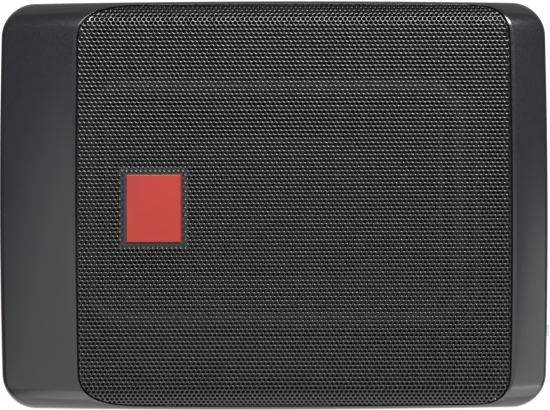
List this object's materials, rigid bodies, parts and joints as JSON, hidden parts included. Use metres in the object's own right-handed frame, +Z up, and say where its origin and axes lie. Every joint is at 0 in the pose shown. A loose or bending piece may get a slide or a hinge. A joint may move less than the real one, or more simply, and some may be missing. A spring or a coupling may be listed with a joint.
{
  "type": "powered under-seat car subwoofer",
  "caption": "Shallow car bass box: racetrack driver under a crowned perforated steel grille, built-in amplifier, recessed control end with knobs, switches, sockets and fuse.",
  "frame": {"origin": "on the floor under the middle of the box", "axes": "+Z up out of the grille, +X towards the control end, which is the right of the picture, +Y towards the top of the picture"},
  "size_m": [0.2613, 0.194, 0.07],
  "materials": {
    "housing_plastic": "fine grained satin ABS",
    "cast_housing": "satin powder coat on cast aluminium",
    "grille_steel": "satin powder coat on punched steel",
    "badge_red": "satin red enamel",
    "black_plastic": "moulded",
    "rubber_black": "matt",
    "gasket_foam": "closed-cell foam",
    "cone_poly": "filled polypropylene",
    "spider_cloth": "resin-dipped cloth",
    "former_paper": "polyimide",
    "coil_copper": "enamelled copper",
    "plated_steel": "zinc plated",
    "black_steel": "black zinc",
    "ferrite": "sintered ferrite",
    "frame_cast": "black e-coat",
    "board_green": "solder mask",
    "cap_sleeve": "shrink sleeve",
    "heat_sink_alu": "extruded",
    "insert_brass": "knurled",
    "gold_plate": "flash gold",
    "white_plastic": "moulded",
    "red_plastic": "moulded",
    "pot_plastic": "moulded",
    "lens_blue": "diffuse lens",
    "fuse_blue": "translucent light blue",
    "wire_red": "PVC sleeve"
  },
  "bodies": {
    "enclosure": {"upper_housing": "housing_plastic", "lower_housing": "cast_housing", "housing_gasket": "rubber_black", "housing_screws": "black_steel", "rubber_feet": "rubber_black", "threaded_inserts": "insert_brass", "grille": "grille_steel", "badge_base": "black_plastic", "badge_plate": "badge_red", "driver_basket": "frame_cast", "driver_gasket": "gasket_foam", "driver_screws": "black_steel", "surround": "rubber_black", "spider": "spider_cloth", "top_plate": "plated_steel", "magnet": "ferrite", "yoke": "plated_steel", "driver_terminal": "black_plastic", "tinsel_leads": "coil_copper", "speaker_leads": "wire_red", "amp_board": "board_green", "control_board": "board_green", "board_header": "black_plastic", "capacitors": "cap_sleeve", "toroid": "coil_copper", "power_transistors": "black_plastic", "heat_sink": "heat_sink_alu", "board_screws": "plated_steel", "control_panel": "black_plastic", "panel_screws": "black_steel", "potentiometers": "pot_plastic", "switch_bodies": "plated_steel", "phono_block": "black_plastic", "phono_shells": "gold_plate", "phono_insulator_white": "white_plastic", "phono_insulator_red": "red_plastic", "harness_socket": "black_plastic", "harness_pins": "plated_steel", "remote_jack": "black_plastic", "power_light": "lens_blue", "fuse_holder": "black_plastic"},
    "cone_assembly": {"cone": "cone_poly", "dust_cap": "cone_poly", "voice_coil_former": "former_paper", "voice_coil": "coil_copper"},
    "level_knob": {"level_knob": "black_plastic"},
    "crossover_knob": {"crossover_knob": "black_plastic"},
    "bass_boost_knob": {"bass_boost_knob": "black_plastic"},
    "phase_button": {"phase_button": "black_plastic"},
    "turn_on_button": {"turn_on_button": "black_plastic"},
    "fuse": {"fuse_body": "fuse_blue", "fuse_blades": "plated_steel"}
  },
  "joints": [
    {"name": "cone_travel", "type": "slide", "parent": "enclosure", "child": "cone_assembly", "axis": [0, 0, 1], "range_m": [-0.005, 0.005], "stiffness_N_per_m": 3000, "deforming": ["surround", "spider", "tinsel_leads"]},
    {"name": "level_turn", "type": "hinge", "parent": "enclosure", "child": "level_knob", "pos_m": [0.1195, 0.034, 0.033], "axis": [1, 0, 0], "range_deg": [-140, 140]},
    {"name": "crossover_turn", "type": "hinge", "parent": "enclosure", "child": "crossover_knob", "pos_m": [0.1195, 0.047, 0.033], "axis": [1, 0, 0], "range_deg": [-140, 140]},
    {"name": "bass_boost_turn", "type": "hinge", "parent": "enclosure", "child": "bass_boost_knob", "pos_m": [0.1195, 0.06, 0.033], "axis": [1, 0, 0], "range_deg": [-140, 140]},
    {"name": "phase_slide", "type": "slide", "parent": "enclosure", "child": "phase_button", "axis": [0, 1, 0], "range_m": [0, 0.003]},
    {"name": "turn_on_slide", "type": "slide", "parent": "enclosure", "child": "turn_on_button", "axis": [0, 1, 0], "range_m": [0, 0.003]},
    {"name": "fuse_pull", "type": "slide", "parent": "enclosure", "child": "fuse", "axis": [1, 0, 0], "range_m": [0, 0.02]}
  ]
}
